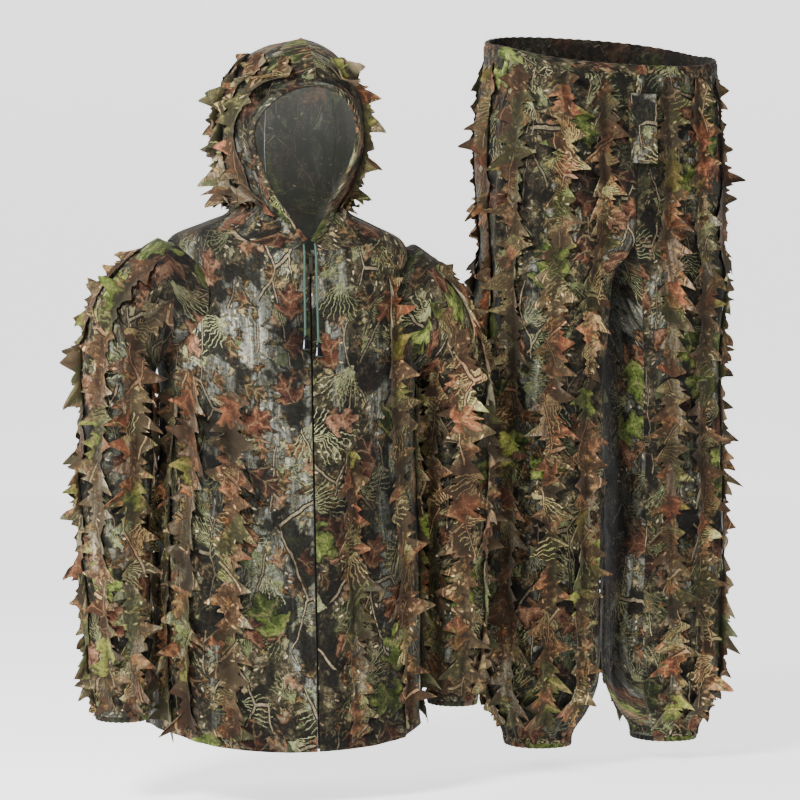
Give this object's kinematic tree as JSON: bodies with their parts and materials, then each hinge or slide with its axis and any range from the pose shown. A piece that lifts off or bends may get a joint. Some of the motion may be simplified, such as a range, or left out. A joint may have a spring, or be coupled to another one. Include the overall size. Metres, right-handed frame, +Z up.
{
  "type": "ghillie suit",
  "caption": "Two-piece leaf-cloth ghillie suit: hooded zip jacket and elastic-waist trousers of printed camouflage cloth with sewn-on leaf-edged ribbons.",
  "frame": {"origin": "middle of the neck, level with where the jacket rests on the shoulders", "axes": "+Z up, the wearer faces -Y, +X is towards the wearer's left, where the trousers stand"},
  "size_m": [1.1025, 0.4188, 1.138],
  "materials": {
    "printed_cloth": "polyester tricot printed with leaf-litter camouflage",
    "ribbon_cloth": "the same printed cloth cut into leaf points",
    "cord": "round braided polyester cord",
    "bell_plastic": "glossy moulded black plastic",
    "zip_tape": "woven polyester tape",
    "zip_nylon": "nylon coil",
    "zip_metal": "dark painted die-cast zinc",
    "elastic": "woven elastic"
  },
  "bodies": {
    "jacket": {"cord_bell_left": "bell_plastic", "cord_bell_right": "bell_plastic", "drawcord_end_left": "cord", "drawcord_end_right": "cord", "jacket_back": "printed_cloth", "jacket_front_left": "printed_cloth", "jacket_front_right": "printed_cloth", "ribbon_back_left": "ribbon_cloth", "ribbon_back_right": "ribbon_cloth", "ribbon_front_inner_left": "ribbon_cloth", "ribbon_front_inner_right": "ribbon_cloth", "ribbon_front_outer_left": "ribbon_cloth", "ribbon_front_outer_right": "ribbon_cloth", "zip_coil_left": "zip_nylon", "zip_coil_right": "zip_nylon", "zip_tape_left": "zip_tape", "zip_tape_right": "zip_tape"},
    "hood": {"drawcord": "cord", "hood_edge_casing": "printed_cloth", "hood_left": "printed_cloth", "hood_right": "printed_cloth", "ribbon_hood_left": "ribbon_cloth", "ribbon_hood_right": "ribbon_cloth"},
    "sleeve_upper_right": {"ribbon_sleeve_upper_right": "ribbon_cloth", "sleeve_right_upper": "printed_cloth"},
    "sleeve_lower_right": {"cuff_casing_right": "printed_cloth", "cuff_elastic_right": "elastic", "ribbon_sleeve_lower_right": "ribbon_cloth", "sleeve_right_lower": "printed_cloth"},
    "sleeve_upper_left": {"ribbon_sleeve_upper_left": "ribbon_cloth", "sleeve_left_upper": "printed_cloth"},
    "sleeve_lower_left": {"cuff_casing_left": "printed_cloth", "cuff_elastic_left": "elastic", "ribbon_sleeve_lower_left": "ribbon_cloth", "sleeve_left_lower": "printed_cloth"},
    "zip_slider": {"zip_slider": "zip_metal"},
    "zip_pull": {"zip_pull": "zip_metal"},
    "trousers": {"fly_flap": "printed_cloth", "trousers_back_left": "printed_cloth", "trousers_back_right": "printed_cloth", "trousers_front_left": "printed_cloth", "trousers_front_right": "printed_cloth", "waist_elastic": "elastic", "waistband": "printed_cloth"},
    "thigh_right": {"ribbon_thigh_side_right": "ribbon_cloth", "thigh_right": "printed_cloth"},
    "thigh_left": {"ribbon_thigh_side_left": "ribbon_cloth", "thigh_left": "printed_cloth"},
    "shin_right": {"ankle_casing_right": "printed_cloth", "ankle_elastic_right": "elastic", "ribbon_shin_front_right": "ribbon_cloth", "ribbon_shin_side_right": "ribbon_cloth", "shin_right": "printed_cloth"},
    "shin_left": {"ankle_casing_left": "printed_cloth", "ankle_elastic_left": "elastic", "ribbon_shin_front_left": "ribbon_cloth", "ribbon_shin_side_left": "ribbon_cloth", "shin_left": "printed_cloth"}
  },
  "joints": [
    {"name": "hood_tilt", "type": "hinge", "parent": "jacket", "child": "hood", "pos_m": [0, 0.08, 0.0208], "axis": [-1, 0, 0], "range_deg": [0, 40]},
    {"name": "zip_slide", "type": "slide", "parent": "jacket", "child": "zip_slider", "axis": [0, -0.0599, -0.9982], "range_m": [0, 0.655]},
    {"name": "zip_pull_lift", "type": "hinge", "parent": "zip_slider", "child": "zip_pull", "pos_m": [0, -0.11289, -0.04999], "axis": [-1, 0, 0], "range_deg": [0, 110]},
    {"name": "sleeve_swing_right", "type": "hinge", "parent": "jacket", "child": "sleeve_upper_right", "pos_m": [-0.18, 0, -0.112], "axis": [-1, 0, 0], "range_deg": [0, 80]},
    {"name": "elbow_right", "type": "hinge", "parent": "sleeve_upper_right", "child": "sleeve_lower_right", "pos_m": [-0.255, -0.004, -0.43], "axis": [-1, 0, 0], "range_deg": [0, 60]},
    {"name": "sleeve_swing_left", "type": "hinge", "parent": "jacket", "child": "sleeve_upper_left", "pos_m": [0.18, 0, -0.112], "axis": [-1, 0, 0], "range_deg": [0, 80]},
    {"name": "elbow_left", "type": "hinge", "parent": "sleeve_upper_left", "child": "sleeve_lower_left", "pos_m": [0.255, -0.004, -0.43], "axis": [-1, 0, 0], "range_deg": [0, 60]},
    {"name": "trousers_apart", "type": "slide", "parent": "jacket", "child": "trousers", "axis": [1, 0, 0], "range_m": [0, 0.45]},
    {"name": "hip_right", "type": "hinge", "parent": "trousers", "child": "thigh_right", "pos_m": [0.456, 0.112, -0.004], "axis": [-1, 0, 0], "range_deg": [0, 45]},
    {"name": "knee_right", "type": "hinge", "parent": "thigh_right", "child": "shin_right", "pos_m": [0.451, 0.099, -0.392], "axis": [1, 0, 0], "range_deg": [0, 50]},
    {"name": "hip_left", "type": "hinge", "parent": "trousers", "child": "thigh_left", "pos_m": [0.656, 0.112, -0.004], "axis": [-1, 0, 0], "range_deg": [0, 45]},
    {"name": "knee_left", "type": "hinge", "parent": "thigh_left", "child": "shin_left", "pos_m": [0.661, 0.099, -0.392], "axis": [1, 0, 0], "range_deg": [0, 50]}
  ]
}
